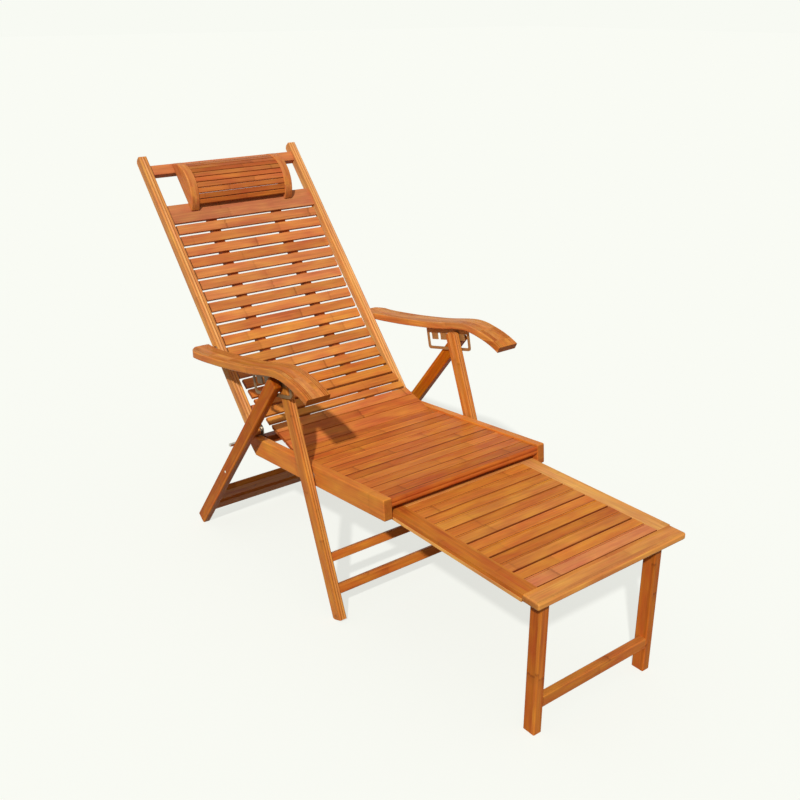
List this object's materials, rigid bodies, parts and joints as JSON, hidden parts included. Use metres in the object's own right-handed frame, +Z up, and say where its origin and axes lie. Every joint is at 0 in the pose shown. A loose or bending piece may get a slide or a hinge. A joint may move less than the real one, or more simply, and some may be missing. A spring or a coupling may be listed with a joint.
{
  "type": "folding recliner",
  "caption": "Slatted bamboo folding recliner: crossed legs, back reclining under notched armrests, headrest and a footrest that slides out on folding legs.",
  "frame": {"origin": "on the floor, at the middle of the chair's width and of its length with the footrest out", "axes": "+Z up, -Y towards the foot end, +X towards the sitter's left"},
  "size_m": [0.62, 1.537, 0.9641],
  "materials": {
    "bamboo_brown": "satin lacquered carbonised bamboo",
    "bamboo_red": "satin lacquered carbonised bamboo, redder",
    "bamboo_gold": "satin lacquered bamboo, golden",
    "bright_steel": "bright zinc",
    "zinc_steel": "zinc plated",
    "bronzed_steel": "bronze coloured lacquer"
  },
  "bodies": {
    "seat": {"seat_rail_left": "bamboo_brown", "seat_rail_right": "bamboo_brown", "seat_nosing": "bamboo_brown", "seat_front_bar": "bamboo_brown", "seat_slats": "bamboo_brown", "seat_curve_slats": "bamboo_brown", "seat_ledger_left": "bamboo_brown", "seat_ledger_right": "bamboo_brown", "seat_rib_left": "bamboo_brown", "seat_rib_right": "bamboo_brown", "seat_rear_bar": "bamboo_brown", "leg_stop_rod": "bright_steel", "back_hinge_plate_left": "zinc_steel", "back_hinge_plate_right": "zinc_steel", "back_pivot_bolts": "zinc_steel", "pivot_spacers": "zinc_steel", "leg_pivot_bolts": "zinc_steel"},
    "back": {"back_stile_left": "bamboo_gold", "back_stile_right": "bamboo_gold", "back_slats_lower": "bamboo_red", "back_slats_upper": "bamboo_red", "back_top_slat": "bamboo_red", "back_top_rail": "bamboo_red", "back_rib_left": "bamboo_red", "back_rib_right": "bamboo_red", "back_low_bar": "bamboo_red", "headrest_cheek_left": "bamboo_red", "headrest_cheek_right": "bamboo_red", "headrest_slats": "bamboo_red", "arm_pivot_bolts": "zinc_steel", "arm_pivot_spacers": "zinc_steel"},
    "arm_left": {"armrest_left": "bamboo_brown", "arm_bracket_left": "bronzed_steel"},
    "arm_right": {"armrest_right": "bamboo_brown", "arm_bracket_right": "bronzed_steel"},
    "front_legs": {"front_leg_left": "bamboo_brown", "front_leg_right": "bamboo_brown", "front_stretcher_upper": "bamboo_brown", "front_stretcher_lower": "bamboo_brown", "apex_bolts_front": "zinc_steel"},
    "rear_legs": {"rear_leg_left": "bamboo_brown", "rear_leg_right": "bamboo_brown", "rear_stretcher_upper": "bamboo_brown", "rear_stretcher_lower": "bamboo_brown", "apex_bolts_rear": "zinc_steel"},
    "footrest_guide": {"footrest_rod": "bright_steel"},
    "footrest": {"footrest_side_left": "bamboo_gold", "footrest_side_right": "bamboo_gold", "footrest_runner_left": "bamboo_brown", "footrest_runner_right": "bamboo_brown", "footrest_batten": "bamboo_brown", "footrest_front_board": "bamboo_gold", "footrest_rear_bar": "bamboo_brown", "footrest_slats": "bamboo_brown", "footrest_hinges": "zinc_steel", "footrest_hinge_pins": "zinc_steel"},
    "footrest_legs": {"footrest_leg_left": "bamboo_brown", "footrest_leg_right": "bamboo_brown", "footrest_leg_bar": "bamboo_brown", "footrest_leg_leaves": "zinc_steel"}
  },
  "joints": [
    {"name": "back_recline", "type": "hinge", "parent": "seat", "child": "back", "pos_m": [0, 0.22251, 0.34132], "axis": [1, 0, 0], "range_deg": [-11, 30]},
    {"name": "arm_left_hinge", "type": "hinge", "parent": "back", "child": "arm_left", "pos_m": [0.249, 0.37837, 0.51854], "axis": [1, 0, 0], "range_deg": [-21.5, 8]},
    {"name": "arm_right_hinge", "type": "hinge", "parent": "back", "child": "arm_right", "pos_m": [-0.249, 0.37837, 0.51854], "axis": [1, 0, 0], "range_deg": [-21.5, 8]},
    {"name": "leg_fold", "type": "hinge", "parent": "seat", "child": "front_legs", "pos_m": [0, -0.05456, 0.32597], "axis": [1, 0, 0], "range_deg": [-48, 0]},
    {"name": "rear_leg_fold", "type": "hinge", "parent": "front_legs", "child": "rear_legs", "pos_m": [0, 0.02754, 0.54039], "axis": [1, 0, 0], "range_deg": [-54, 0]},
    {"name": "footrest_slide", "type": "slide", "parent": "seat", "child": "footrest_guide", "axis": [0, 0.9962, -0.0866], "range_m": [0, 0.43]},
    {"name": "footrest_level", "type": "hinge", "parent": "footrest_guide", "child": "footrest", "pos_m": [0, -0.30574, 0.33245], "axis": [1, 0, 0], "range_deg": [-5, 0]},
    {"name": "footrest_leg_fold", "type": "hinge", "parent": "footrest", "child": "footrest_legs", "pos_m": [0, -0.70814, 0.31845], "axis": [1, 0, 0], "range_deg": [0, 88.5]}
  ],
  "couplings": [
    {"joint": "arm_left_hinge", "follows": "back_recline", "ratio": -0.7},
    {"joint": "arm_right_hinge", "follows": "back_recline", "ratio": -0.7},
    {"joint": "rear_leg_fold", "follows": "leg_fold", "ratio": 1.12},
    {"joint": "footrest_level", "follows": "footrest_slide", "rad_per_m": -0.20173},
    {"joint": "footrest_leg_fold", "follows": "leg_fold", "ratio": -1.8333}
  ]
}
